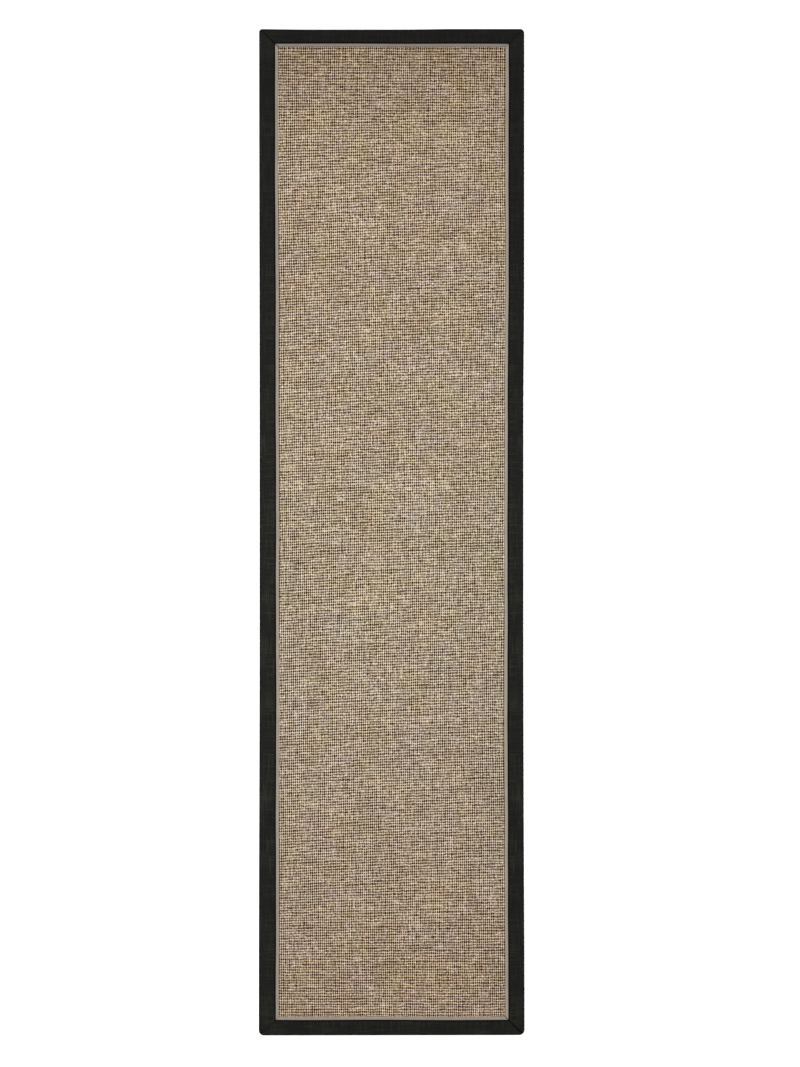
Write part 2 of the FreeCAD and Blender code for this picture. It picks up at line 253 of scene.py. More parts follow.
def settle(points):
    """Moves points as sewing and handling did: the edges drawn in by a few millimetres, the seams not
    quite parallel to them."""
    x = points[..., 0].copy()
    y = points[..., 1].copy()
    along = y / HALF_LENGTH
    across = x / HALF_WIDTH

    left_edge = 2.15 * MM * smoothstep(-0.95, -0.20, along)
    left_edge *= 1.0 - 0.55 * smoothstep(0.20, 0.95, along)
    left_edge -= 1.35 * MM
    right_edge = 0.85 * MM * smoothstep(-1.00, -0.50, along) - 1.0 * MM
    right_edge += 2.4 * MM * smoothstep(-0.95, -0.20, along) * fall(0.22, 0.50, along)
    head_edge = 1.6 * MM * smoothstep(-1.10, -0.60, across) * fall(0.05, 0.50, across)
    foot_edge = 0.65 * MM + 0.55 * MM * across

    left_seam = 0.75 * MM - 1.75 * MM * along + wander(y, ((0.35, 0.61, 0.4), (0.2, 0.23, 2.0)))
    left_seam += 0.35 * MM * fall(0.42, 0.62, along) * smoothstep(-1.0, -0.8, along) - 0.3 * MM
    right_seam = -1.4 * MM - 1.0 * MM * along + wander(y, ((0.35, 0.53, 1.7), (0.2, 0.19, 0.6)))
    head_seam = -0.7 * MM + 0.35 * MM * across + wander(x, ((0.3, 0.37, 0.9),))
    foot_seam = 1.9 * MM - 0.2 * MM * across + wander(x, ((0.5, 0.41, 2.2),))

    shift_x = left_edge * (1.0 - across) / 2.0 - right_edge * (1.0 + across) / 2.0
    shift_x += left_seam * near_seam(x + HALF_WIDTH) - right_seam * near_seam(HALF_WIDTH - x)
    shift_y = foot_edge * near_edge(y + HALF_LENGTH) - head_edge * near_edge(HALF_LENGTH - y)
    shift_y += foot_seam * near_seam(y + HALF_LENGTH) - head_seam * near_seam(HALF_LENGTH - y)
    points[..., 0] = x + shift_x
    points[..., 1] = y + shift_y
    return points


# Meshes.


def new_object(name, points, quads, polygons=()):
    """A smooth-shaded mesh object made of quads and any larger polygons."""
    mesh = bpy.data.meshes.new(name)
    mesh.vertices.add(len(points))
    mesh.vertices.foreach_set("co", np.asarray(points, np.float32).ravel())
    corners = np.concatenate([np.ravel(quads), *polygons]).astype(np.int32)
    sizes = [4] * len(quads) + [len(polygon) for polygon in polygons]
    starts = (np.cumsum(sizes) - sizes).astype(np.int32)
    mesh.loops.add(len(corners))
    mesh.loops.foreach_set("vertex_index", corners)
    mesh.polygons.add(len(sizes))
    mesh.polygons.foreach_set("loop_start", starts)
    mesh.update(calc_edges=True)
    mesh.shade_smooth()
    made = bpy.data.objects.new(name, mesh)
    bpy.context.scene.collection.objects.link(made)
    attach(made, "root")
    return made


def add_uv(made, name, per_corner):
    layer = made.data.uv_layers.new(name=name)
    layer.data.foreach_set("uv", np.asarray(per_corner, np.float32).ravel())


def uv_from_points(made, name, per_point):
    """A UV map whose value depends only on the mesh point."""
    corners = np.empty(len(made.data.loops), np.int32)
    made.data.loops.foreach_get("vertex_index", corners)
    add_uv(made, name, np.asarray(per_point)[corners])


def add_point_value(made, name, values):
    attribute = made.data.attributes.new(name, "FLOAT", "POINT")
    attribute.data.foreach_set("value", np.asarray(values, np.float32).ravel())


def grid_quads(rows, columns, first=0):
    """Quads of a rows by columns grid of points, wound to face +Z when columns run +X, rows +Y."""
    index = np.arange(rows * columns).reshape(rows, columns) + first
    return joined(index[:-1, :-1], index[:-1, 1:], index[1:, 1:], index[1:, :-1]).reshape(-1, 4)


def ring_quads(rows, columns):
    """Quads of a grid of points whose last column joins its first."""
    index = np.arange(rows * columns).reshape(rows, columns)
    after = np.roll(index, -1, axis=1)
    return joined(index[:-1], after[:-1], after[1:], index[1:]).reshape(-1, 4)


# The woven face.


def round_corners(x, y):
    """Draws the square corners of the cloth's grid in to a rounded outline."""
    over_x = np.clip(np.abs(x) - (CLOTH_HALF_X - HIDDEN_CORNER), 0.0, None)
    over_y = np.clip(np.abs(y) - (CLOTH_HALF_Y - HIDDEN_CORNER), 0.0, None)
    reach = np.hypot(over_x, over_y)
    share = np.where(reach > 0.0, np.maximum(over_x, over_y) / np.maximum(reach, 1e-9), 1.0)
    return x - np.sign(x) * over_x * (1.0 - share), y - np.sign(y) * over_y * (1.0 - share)


def row_rise(x):
    """How far a row has risen at x, because the cloth was latexed a little out of square."""
    return 0.0370 * x - 0.0228 * x * x


def skew_share(y):
    """The rows are square again near both ends."""
    return fall(0.85, 1.40, y) * smoothstep(-1.30, -0.95, y)


def weave_axis(half, pitch, visible_half, samples):
    """Lattice coordinates along one axis: four per yarn where the weave shows, one beyond it."""
    end = half / pitch
    shown = math.ceil(visible_half / pitch) + 1
    fine = (np.arange(-shown, shown)[:, None] + samples).ravel()
    margin = np.append(np.arange(shown + 1.0, math.floor(end) + 1.0), end)
    return np.concatenate((-margin[::-1], fine, margin))


def yarn_noise(rng, across, along, step):
    """A smooth random curve along each yarn, read at every lattice point."""
    yarn = np.floor(across).astype(int)
    yarn -= yarn.min()
    return line_noise(rng, yarn.max() + 1, along, step)[yarn]


def uneven(middle, shares, noises):
    """A value that varies round its middle in several ways at once."""
    return sum((share * noise for share, noise in zip(shares, noises)), start=middle)


def yarn_heights(u, v, rng):
    """The weave's surface over the lattice point grid, and how deep in shade each point of it lies."""
    patch = patch_noise(rng, v, u, 4.0, 9.0)
    weft_slub, weft_short, weft_drift = (yarn_noise(rng, v, u, step) for step in WEFT_LENGTHS)
    warp_slub, warp_short, warp_drift = (yarn_noise(rng, u, v, step).T for step in WARP_LENGTHS)

    column = np.floor(u)[None, :]
    row = np.floor(v)[:, None]
    along_weft = 2.0 * (u - column) - 1.0
    along_warp = 2.0 * (v[:, None] - row) - 1.0
    across_weft = np.abs(along_warp + 0.07 * weft_drift)
    across_warp = np.abs(along_weft + 0.07 * warp_drift)
    weft_over = np.where((row + column) % 2 == 0, 1.0, -1.0)

    weft_width = uneven(WEFT_WIDTH, WEFT_UNEVEN, (weft_slub, weft_short, patch))
    warp_width = uneven(WARP_WIDTH, WARP_UNEVEN, (warp_slub, warp_short, patch))
    weft_round = np.sqrt(np.clip(1.0 - (across_weft / weft_width) ** 2, 0.0, 1.0))
    warp_round = np.sqrt(np.clip(1.0 - (across_warp / warp_width) ** 2, 0.0, 1.0))
    floor = CROWN - PIT_FLOOR
    weft_dip = CRIMP * (1.0 - weft_over * np.cos(0.5 * math.pi * along_weft))
    weft = CRIMP + WEFT_HALF_THICK * (1.0 + 0.10 * weft_short) * weft_round - weft_dip
    warp_dip = CRIMP * (1.0 + weft_over * np.cos(0.5 * math.pi * along_warp))
    warp = CRIMP + WARP_HALF_THICK * (1.0 + 0.12 * warp_short + 0.04 * patch) * warp_round - warp_dip
    weft = np.where(weft_round > 0.0, weft, floor)
    warp = np.where(warp_round > 0.0, warp, floor)
    height = np.maximum(np.maximum(weft, warp), floor)
    dip = np.where(weft > warp, weft_dip, warp_dip)
    dip = np.where(height > floor, dip, 0.0)
    shade = np.clip((CROWN - height - (1.0 - LIT_CRIMP) * dip) / PIT_FLOOR, 0.0, 1.0)
    return height, shade


def yarn_stray(rng, across, along, sway, shake):
    """How far each yarn strays sideways along its length: a slow sway and a quick shake."""
    stray = sway * yarn_noise(rng, across, along, 9.0) + shake * yarn_noise(rng, across, along, 1.8)
    return np.clip(stray, -MOST_STRAY, MOST_STRAY)


def lay_weave(u, v):
    """Flat x and y, height, and depth in shade of the woven face's points, v by u."""
    rng = np.random.default_rng(41)
    height, depth = yarn_heights(u, v, rng)
    x = np.repeat((u * COLUMN_PITCH)[None, :], len(v), axis=0)
    y = np.repeat((v * ROW_PITCH)[:, None], len(u), axis=1)
    inset = np.minimum(CLOTH_HALF_X - np.abs(x), CLOTH_HALF_Y - np.abs(y))
    shown = smoothstep(SLOPE_END, ACCENT_FOLD - 6.0 * MM, inset)
    past_tape = np.minimum(HALF_WIDTH - np.abs(x), HALF_LENGTH - np.abs(y) + BAND_NARROWING) - ACCENT_FOLD
    pressed = fall(0.0, PRESSED_WIDTH, past_tape)
    column_wander = wander(y, ((1.6, 1.9, 0.5), (0.9, 0.83, 2.1), (0.3, 0.27, 0.2)))
    x = x + column_wander * smoothstep(0.0, SLOPE_END, inset)
    x = x + yarn_stray(rng, u, v, *COLUMN_STRAY).T * shown
    y = y + yarn_stray(rng, v, u, *ROW_STRAY) * shown
    y = y + row_rise(x) * skew_share(y)
    x, y = round_corners(x, y)
    rim = fall(0.0, 3.0 * MM, inset)
    z = WEAVE_TOP + (height - CROWN) * shown - 0.2 * MM * (1.0 - shown) - 1.2 * MM * rim
    z -= PRESSED_DEPTH * pressed * shown
    off_mitre = np.abs(np.abs(y) - np.abs(x) - HALF_LENGTH + HALF_WIDTH - BAND_NARROWING)
    z -= MITRE_RELIEF * fall(0.0, MITRE_RELIEF_WIDTH, off_mitre) * (1.0 - shown)
    pressed_shade = np.where(y > HALF_LENGTH - 2.0 * END_BAND, HEAD_PRESSED_SHADE, PRESSED_SHADE)
    depth = np.maximum(depth, pressed_shade * pressed) * shown + HIDDEN_SHADE * (1.0 - shown)
    return x, y, z, depth


def make_woven_face():
    u = weave_axis(CLOTH_HALF_X, COLUMN_PITCH, HALF_WIDTH - ACCENT_FOLD, WARP_SAMPLES)
    shown_half_length = HALF_LENGTH - ACCENT_FOLD + BAND_NARROWING
    v = weave_axis(CLOTH_HALF_Y, ROW_PITCH, shown_half_length, WEFT_SAMPLES)
    rows, columns = len(v), len(u)
    x, y, z, depth = lay_weave(u, v)
    top = settle(joined(x, y, z))
    floor = WEAVE_BOTTOM + 0.05 * MM
    low_left = top[:, 0].copy()
    low_right = top[:, -1].copy()
    low_left[:, 2] = floor
    low_right[:, 2] = floor
    points = np.concatenate([top.reshape(-1, 3), low_left, low_right])
    index = np.arange(rows * columns).reshape(rows, columns)
    left = rows * columns + np.arange(rows)
    right = left + rows
    upper = grid_quads(rows, columns)
    under = joined(left[:-1], left[1:], right[1:], right[:-1])
    left_wall = joined(index[:-1, 0], index[1:, 0], left[1:], left[:-1])
    right_wall = joined(index[1:, -1], index[:-1, -1], right[:-1], right[1:])
    foot_wall = np.concatenate([index[0, ::-1], [left[0], right[0]]])
    head_wall = np.concatenate([index[-1], [right[-1], left[-1]]])
    quads = np.concatenate([upper, under, left_wall, right_wall])
    made = new_object("woven_face", points, quads, (foot_wall, head_wall))

    lattice = joined(*np.broadcast_arrays(u[None, :], v[:, None])).reshape(-1, 2)
    ends = joined(np.zeros(rows), v)
    uv_from_points(made, "weave", np.concatenate([lattice, ends, ends]))
    # Painted shade for each point: the deeper it lies among the yarns, the darker; the walls get a
    # middling shade.
    add_point_value(made, "pit_shade", np.concatenate([depth.ravel(), np.full(2 * rows, 0.5)]))

    # The face is laid out for baking as two halves, side by side.
    bake = np.full((len(made.data.loops), 2), 0.004)
    face_row = np.repeat(np.arange(rows - 1), columns - 1)[:, None]
    second_half = face_row >= rows // 2
    place = joined(x, y).reshape(-1, 2)[upper]
    sheet_u = (place[..., 0] + CLOTH_HALF_X) / (2.0 * CLOTH_HALF_X)
    sheet_v = place[..., 1] / CLOTH_HALF_Y
    split = v[rows // 2] * ROW_PITCH / CLOTH_HALF_Y
    bake_u = 0.005 + 0.485 * sheet_u + 0.505 * second_half
    low = np.where(second_half, split, -1.0)
    high = np.where(second_half, 1.0, split)
    bake_v = 0.03 + 0.96 * (sheet_v - low) / (high - low)
    bake[: 4 * len(upper)] = joined(bake_u, bake_v).reshape(-1, 2)
    add_uv(made, "OFBake", bake)

    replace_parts(made, "woven_field")
    made.data.materials.append(woven_material())


# Strips that run along an edge from mitre to mitre.


def arc(centre, radius, start, end, count):
    """Points on an arc, (inset, height); angles in degrees from +inset towards +height."""
    angles = np.radians(np.linspace(start, end, count))
    return joined(centre[0] + radius * np.cos(angles), centre[1] + radius * np.sin(angles))


def line(start, end, count):
    """Points from start up to, but not including, end."""
    share = np.linspace(0.0, 1.0, count, endpoint=False)[:, None]
    return np.asarray(start) * (1.0 - share) + np.asarray(end) * share


def canvas_path():
    """Middle of the border canvas in section: hem, fold round the edge, face, ridge, turned-in ply."""
    half = CANVAS / 2.0
    bend = FOLD_RADIUS - half
    face = WEAVE_TOP + half
    ridge = SEAM_TOP - half
    nose = 0.37 * MM
    nose_inset = SIDE_BAND - half - nose
    slope = np.linspace(SLOPE_START, SLOPE_END, 9)
    rise = smoothstep(SLOPE_START, SLOPE_END, slope)
    return np.concatenate([
        line((HEM_WIDTH, half), (FOLD_RADIUS, half), 9),
        arc((FOLD_RADIUS, FOLD_RADIUS), bend, -90, -180, 6),
        arc((FOLD_RADIUS, face + half - FOLD_RADIUS), bend, 180, 90, 6),
        line((FOLD_RADIUS + 2.0 * MM, face), (SLOPE_START, face), 5),
        joined(slope, face + (ridge - face) * rise),
        line((SLOPE_END + 2.0 * MM, ridge), (nose_inset, ridge), 4),
        arc((nose_inset, ridge - nose), nose, 90, -90, 6),
        line((nose_inset - 1.0 * MM, ridge - 2 * nose), (SLOPE_END, ridge - 2 * nose), 4),
    ])


def directions(path):
    """A path's unit direction at each of its points."""
    step = np.gradient(path, axis=0)
    return step / np.linalg.norm(step, axis=1)[:, None]


def thicken(path, thickness):
    """Closed section round a path of (inset, height): one side out, the other side back."""
    step = directions(path)
    offset = joined(-step[:, 1], step[:, 0]) * thickness / 2.0
    return np.concatenate([path - offset, (path + offset)[::-1]])


def accent_path():
    """Middle of the accent tape in section: lower ply, fold, upper ply swelling where it shows."""
    lower = WEAVE_TOP + 0.02 * MM + ACCENT_PLY / 2.0
    radius = ACCENT_PLY / 2.0 + 0.02 * MM
    upper = lower + 2.0 * radius
    nose_inset = ACCENT_FOLD - ACCENT_PLY / 2.0 - radius
    show = np.linspace(nose_inset, SIDE_BAND - 1.5 * MM, 9)[1:]
    share = (show - show[-1]) / (nose_inset - show[-1])
    swell = 0.45 * MM * np.sin(math.pi * share)
    return np.concatenate([
        line((ACCENT_TAIL, lower), (nose_inset, lower), 8),
        arc((nose_inset, lower + radius), radius, -90, 90, 7),
        joined(show, upper + swell),
        line((SIDE_BAND - 3.0 * MM, upper), (ACCENT_TAIL, upper), 3),
        [(ACCENT_TAIL, upper)],
    ])


def end_inset(inset):
    """Inset from the end edge of a line that lies inset in from the side edge: the end band is
    narrower, and the two meet on the mitre."""
    return inset - BAND_NARROWING * smoothstep(0.0, 14.0 * MM, inset)


def strip_stations(length, fine_run):
    """Shares of the way along a strip, close together near both ends."""
    near = np.arange(0.0, fine_run, FINE_STATION)
    middle = np.linspace(fine_run, length - fine_run, int((length - 2 * fine_run) / STATION) + 1)
    return np.concatenate([near, middle, length - near[::-1]]) / length


def strip_positions(edge, inset, stations, gap):
    """Points of a strip, stations by section: each section point runs along its own rounded
    rectangle, from the middle of one corner to the middle of the next. Each mitre's name comes with
    every point's distance from it."""
    half = HALF_RUN[edge]
    if edge in SIDES:
        corner_names = (f"foot_{edge}", f"head_{edge}")
        own, other = inset, end_inset(inset)
    else:
        corner_names = (f"{edge}_left", f"{edge}_right")
        own, other = end_inset(inset), inset
    radii = [np.clip(CORNER_RADIUS[name] - inset, 0.0, None) for name in corner_names]
    half_arcs = [radius * math.pi / 4.0 for radius in radii]
    straight = 2.0 * half - 2.0 * other - radii[0] - radii[1]
    full = half_arcs[0] + straight + half_arcs[1]
    distance = gap + stations[:, None] * (full - 2.0 * gap)
    along = -half + other + radii[0] + (distance - half_arcs[0])
    across = np.broadcast_to(own, along.shape).copy()
    from_mitres = (distance, full - distance)
    for radius, half_arc, away, sign in zip(radii, half_arcs, from_mitres, (-1.0, 1.0)):
        on_arc = (away < half_arc) & (radius > 1e-9)
        angle = np.where(on_arc, (half_arc - away) / np.maximum(radius, 1e-9), 0.0)
        centre = sign * (half - other - radius)
        along = np.where(on_arc, centre + sign * radius * np.sin(angle), along)
        across = np.where(on_arc, own + radius * (1.0 - np.cos(angle)), across)
    return along, across, list(zip(corner_names, from_mitres))


def place_strip(edge, along, across, height):
    """Turns (along, inset from its own edge, height) into x, y, z."""
    sign = -1.0 if edge in ("left", "foot") else 1.0
    if edge in SIDES:
        return joined(sign * (HALF_WIDTH - across), along, height)
    return joined(along, sign * (HALF_LENGTH - across), height)


def strip_mesh(kind, edge, section, height, stations, gap, dip_reach, crease_shade, crease_reach):
    """A closed strip that follows an edge, with mitred ends; height is stations by section. The painted
    shade of its creases, at the mitres and where the section has them, is kept as a point value."""
    along, across, mitres = strip_positions(edge, section[:, 0], stations, gap)
    points = settle(place_strip(edge, along, across, dip_at_mitres(height, mitres, dip_reach)))
    rows, columns = along.shape
    quads = ring_quads(rows, columns)
    caps = [np.arange(columns)[::-1], np.arange(columns) + (rows - 1) * columns]
    turned = edge in ("left", "head")
    if turned:
        quads = quads[:, ::-1]
        caps = [cap[::-1] for cap in caps]
    made = new_object(f"{kind}_{edge}", points.reshape(-1, 3), quads, caps)
    made.data.set_sharp_from_angle(angle=math.radians(60))
    add_point_value(made, "crease_shade", np.maximum(mitre_crease_shade(section[:, 0], mitres, crease_reach), crease_shade))

    lap = np.linalg.norm(np.diff(np.concatenate([section, section[:1]]), axis=0), axis=1)
    girth = np.concatenate(([0.0], np.cumsum(lap)))
    row, column = np.divmod(np.arange((rows - 1) * columns), columns)
    corner_row = row[:, None] + ((1, 1, 0, 0) if turned else (0, 0, 1, 1))
    corner_column = column[:, None] + (0, 1, 1, 0)
    cap_row, cap_column = np.divmod(np.concatenate(caps), columns)
    cloth = joined(along[corner_row, corner_column % columns], girth[corner_column])
    cap_cloth = joined(along[cap_row, cap_column], girth[cap_column])
    add_uv(made, "cloth", np.concatenate([cloth.reshape(-1, 2), cap_cloth]))

    # For baking, the strip is cut into shelves, one above the other. The caps share one spot.
    shelf = np.minimum(stations[row] * BAKE_SHELVES, BAKE_SHELVES - 1e-6).astype(int)[:, None]
    bake_u = 0.01 + 0.97 * (stations[corner_row] * BAKE_SHELVES - shelf)
    bake_v = (shelf + 0.04 + 0.92 * girth[corner_column] / girth[-1]) / BAKE_SHELVES
    bake = joined(bake_u, bake_v).reshape(-1, 2)
    add_uv(made, "OFBake", np.concatenate([bake, np.full_like(cap_cloth, 0.003)]))
    return made


def dip_at_mitres(height, mitres, reach):
    """Sinks the top of a strip towards its mitred ends, where the canvas is drawn in by the stitches."""
    dip = sum(MITRE_DEPTH[name] * np.clip(1.0 - away / reach, 0.0, 1.0) ** 2 for name, away in mitres)
    return height - dip * smoothstep(HEM_TOP, WEAVE_TOP, height)


def mitre_crease_shade(inset, mitres, reach):
    """How much painted shade a point gets from the mitre's crease: 0 away from it, up to 1 on it."""
    inward = np.clip(inset / SIDE_BAND, 0.0, 1.0)
    total = 0.0
    for name, away in mitres:
        outer, inner = MITRE_SHADE[name]
        total += (outer + (inner - outer) * inward) * np.clip(1.0 - away / reach, 0.0, 1.0)
    return np.minimum(total, 1.0)


def make_border(edge):
    rng = np.random.default_rng(100 + EDGES.index(edge))
    length = 2.0 * HALF_RUN[edge]
    section = thicken(canvas_path(), CANVAS)
    stations = strip_stations(length, 22.0 * MM)
    inset = section[:, 0]
    face = section[:, 1] > WEAVE_TOP - 1.0 * MM
    free = smoothstep(3.0 * MM, 14.0 * MM, inset) * fall(37.0 * MM, 43.0 * MM, inset) * face
    # Painted shade: the canvas is darker in the ditch at the seam and where it rolls down round the fold.
    at_seam = smoothstep(SIDE_BAND - 5.5 * MM, SIDE_BAND - 2.2 * MM, inset)
    at_fold = 0.60 * fall(1.0 * MM, 4.0 * MM, inset)

    places = np.arange(len(stations)) * STATION
    billow = line_noise(rng, 1, places, 70.0 * MM)[0]
    pucker = line_noise(rng, 1, places, 9.0 * MM)[0]
    wide = patch_noise(rng, places, inset, 26.0 * MM, 14.0 * MM)
    gathers = smoothstep(24.0 * MM, 42.0 * MM, inset) * face
    height = section[:, 1] + free * (0.16 * MM * billow[:, None] + 0.13 * MM * wide)
    height = height + gathers * 0.10 * MM * pucker[:, None]
    height = np.minimum(height, SEAM_TOP + 0.4 * MM)

    made = strip_mesh(
        "canvas_border", edge, section, height, stations,
        gap=0.05 * MM, dip_reach=5.0 * MM, crease_shade=at_seam + at_fold, crease_reach=3.6 * MM,
    )
    along_rug = np.array([point.co.y for point in made.data.vertices]) / (2.0 * HALF_LENGTH) + 0.5
    # The tone is each length's own tone times painted light, brightest in the middle of the rug.
    add_point_value(made, "tone", CANVAS_TONE[edge] * np.interp(along_rug, *zip(*CANVAS_PAINTED_LIGHT)))
    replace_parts(made, f"border_{edge}")
    made.data.materials.append(canvas_material())


def make_accent(edge):
    rng = np.random.default_rng(200 + EDGES.index(edge))
    length = 2.0 * HALF_RUN[edge]
    section = thicken(accent_path(), ACCENT_PLY)
    stations = strip_stations(length - 2.0 * SIDE_BAND, 16.0 * MM)
    inset = section[:, 0]
    shown = smoothstep(SIDE_BAND - 1.0 * MM, SIDE_BAND + 2.0 * MM, inset)
    top = section[:, 1] > WEAVE_TOP + 0.4 * MM
    # Painted shade: the tape is darker in the ditch beside the border and on the roll of its fold.
    in_ditch = 0.45 * fall(SIDE_BAND - 0.4 * MM, SIDE_BAND + 0.8 * MM, inset)
    on_roll = TAPE_ROLL[edge] * smoothstep(ACCENT_FOLD - 2.4 * MM, ACCENT_FOLD, inset)

    places = np.arange(len(stations)) * STATION
    billow = line_noise(rng, 1, places, 30.0 * MM)[0]
    height = section[:, 1] + shown * top * 0.10 * MM * billow[:, None]

    made = strip_mesh(
        "accent_tape", edge, section, height, stations,
        gap=0.10 * MM, dip_reach=3.0 * MM, crease_shade=in_ditch + on_roll, crease_reach=2.4 * MM,
    )
    add_point_value(made, "tone", np.full(len(made.data.vertices), TAPE_TONE[edge]))
    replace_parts(made, f"accent_{edge}")
    made.data.materials.append(accent_material())


# The backing.


def make_backing():
    """Latex coat: thin over the hems, down to the floor between them, rippled where it dried."""
    rng = np.random.default_rng(300)
    groove_half = 0.35 * MM
    groove_wall = 0.08 * MM
    groove = (-groove_half - groove_wall, -groove_half, groove_half, groove_half + groove_wall)

    def axis(half, seam):
        """Grid lines: evenly spread, with extra ones at the step and at the groove."""
        spread = np.arange(0.0, half - seam - 4.0 * MM, 12.0 * MM)
        step = half - HEM_WIDTH
        marks = [half - seam + g for g in groove]
        marks += [step - 0.7 * MM, step - 0.4 * MM, half - 24.0 * MM, half - 12.0 * MM]
        marks += [half - 4.0 * MM, half - 2.4 * MM, half - CLOTH_INSET]
        positive = np.unique(np.round(np.concatenate([spread, marks]), 7))
        return np.concatenate([-positive[:0:-1], positive])

    xs = axis(HALF_WIDTH, SEAM_LINE)
    ys = axis(HALF_LENGTH, SEAM_LINE - BAND_NARROWING)
    x, y = np.meshgrid(xs, ys)
    hem_inset = np.minimum(HALF_WIDTH - np.abs(x), HALF_LENGTH - np.abs(y))
    seam_gap = np.minimum(HALF_WIDTH - np.abs(x), HALF_LENGTH - np.abs(y) + BAND_NARROWING) - SEAM_LINE
    ripple = np.abs(patch_noise(rng, ys, xs, 45.0 * MM, 38.0 * MM)) * 0.10 * MM
    past_hem = hem_inset > HEM_WIDTH + 0.55 * MM
    low = np.where(past_hem, 0.02 * MM + ripple, GLUE_TOP + 0.02 * MM)
    low = np.where(np.abs(seam_gap) < groove_half + 0.02 * MM, 0.62 * MM, low)
    low = low + 1.0 * MM * fall(1.6 * MM, FOLD_RADIUS + 1.0 * MM, hem_inset)
    x, y = round_corners(x, y)
    bottom = settle(joined(x, y, low))
    top = settle(joined(x, y, np.full_like(x, BACKING_TOP)))
    points = np.concatenate([bottom.reshape(-1, 3), top.reshape(-1, 3)])
    rows, columns = x.shape
    count = x.size
    index = np.arange(count).reshape(rows, columns)
    ring = np.concatenate([index[0, :], index[1:, -1], index[-1, -2::-1], index[-2:0:-1, 0]])
    after = np.roll(ring, -1)
    walls = joined(ring, after, after + count, ring + count)
    quads = np.concatenate([grid_quads(rows, columns)[:, ::-1], grid_quads(rows, columns, count), walls])
    made = new_object("latex_coat", points, quads)
    made.data.set_sharp_from_angle(angle=math.radians(50))
    uv_from_points(made, "cloth", points[:, :2])
    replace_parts(made, "latex_backing")
    made.data.materials.append(latex_material())


# Threads.


def tube(path, radius):
    """Points, quads and end caps of a closed round thread along a path."""
    step = directions(path)
    upright = np.where(np.abs(step[:, 2:]) > 0.9, [[1.0, 0.0, 0.0]], [[0.0, 0.0, 1.0]])
    side = np.cross(step, upright)
    side /= np.linalg.norm(side, axis=1)[:, None]
    other = np.cross(side, step)
    angles = 2.0 * math.pi * np.arange(THREAD_SIDES) / THREAD_SIDES
    ring = side[:, None] * np.cos(angles)[None, :, None] + other[:, None] * np.sin(angles)[None, :, None]
    points = (path[:, None] + radius * ring).reshape(-1, 3)
    first_cap = np.arange(THREAD_SIDES)
    last_cap = first_cap[::-1] + (len(path) - 1) * THREAD_SIDES
    return points, ring_quads(len(path), THREAD_SIDES)[:, ::-1], [first_cap, last_cap]


def join_tubes(name, tubes):
    points, quads, caps = zip(*tubes)
    firsts = np.cumsum([0] + [len(tube_points) for tube_points in points])
    quads = [tube_quads + first for tube_quads, first in zip(quads, firsts)]
    caps = [cap + first for tube_caps, first in zip(caps, firsts) for cap in tube_caps]
    made = new_object(name, np.concatenate(points), np.concatenate(quads), caps)
    made.data.materials.append(thread_material())
    return made


def make_seam_thread(edge):
    """A lockstitch: the needle thread runs in the folded canvas and dips to lock with the bobbin
    thread, which shows on the underside."""
    rng = np.random.default_rng(400 + EDGES.index(edge))
    if edge in SIDES:
        half, inset = HALF_LENGTH - END_BAND, SEAM_LINE
    else:
        half, inset = HALF_WIDTH - SIDE_BAND, SEAM_LINE - BAND_NARROWING
    count = int(2.0 * half / STITCH_PITCH)
    phases = np.array([0.0, 0.05, 0.16, 0.5, 0.84, 0.95])
    lift = np.array([0.0, 0.45, 1.0, 1.0, 1.0, 0.45])
    starts = np.arange(count) - count / 2.0
    along = (starts[:, None] + phases).ravel() * STITCH_PITCH
    run = np.tile(lift, count)
    needle_low = 1.1 * MM
    needle_top = SEAM_TOP - CANVAS - 0.02 * MM
    bobbin_low = BOBBIN_BOTTOM + THREAD / 2.0 + 0.05 * MM
    sway = 0.12 * MM * line_noise(rng, 1, along, 20.0 * MM)[0]
    needle = needle_low + (needle_top - needle_low) * run
    bobbin = bobbin_low + 0.55 * MM * (1.0 - run)
    tubes = []
    for height, radius in ((needle, 0.22 * MM), (bobbin, THREAD / 2.0)):
        path = settle(place_strip(edge, along, inset + sway, height))
        tubes.append(tube(path, radius))
    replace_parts(join_tubes(f"lockstitch_{edge}", tubes), f"seam_thread_{edge}")


def make_corner_stitches(corner):
    """Ladder stitches across one mitre, on the face and on the hem."""
    first_stitch = 13.0 * MM
    rng = np.random.default_rng(500 + CORNERS.index(corner))
    sign_x = -1.0 if corner.endswith("left") else 1.0
    sign_y = 1.0 if corner.startswith("head") else -1.0
    face = canvas_path()
    face = face[face[:, 1] > WEAVE_TOP]
    face = face[: face[:, 0].argmax()]
    tubes = []
    for reach, on_face in ((SIDE_BAND, True), (HEM_WIDTH, False)):
        for inset in np.arange(first_stitch, reach - 1.5 * MM, STITCH_PITCH):
            if on_face:
                height = np.interp(inset, face[:, 0], face[:, 1]) + CANVAS / 2.0
                height -= MITRE_DEPTH[corner] * 0.45
                bow, end_sink = 0.25 * MM, 0.35 * MM
            else:
                height = 0.32 * MM
                bow, end_sink = -0.05 * MM, -0.35 * MM
            half = (1.3 + 0.25 * rng.random()) * MM
            share = np.linspace(-1.0, 1.0, 7)
            slant = 0.35 * MM * rng.standard_normal()
            offset_x = inset + slant + share * half / math.sqrt(2.0)
            offset_y = end_inset(inset) + slant - share * half / math.sqrt(2.0)
            x = sign_x * (HALF_WIDTH - offset_x)
            y = sign_y * (HALF_LENGTH - offset_y)
            z = height + bow * (1.0 - share * share) - end_sink * share**4
            tubes.append(tube(settle(joined(x, y, z)), 0.2 * MM))
    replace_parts(join_tubes(f"ladder_stitches_{corner}", tubes), f"corner_stitches_{corner}")


# Materials. Each is a node tree, made on first use and shared after that.


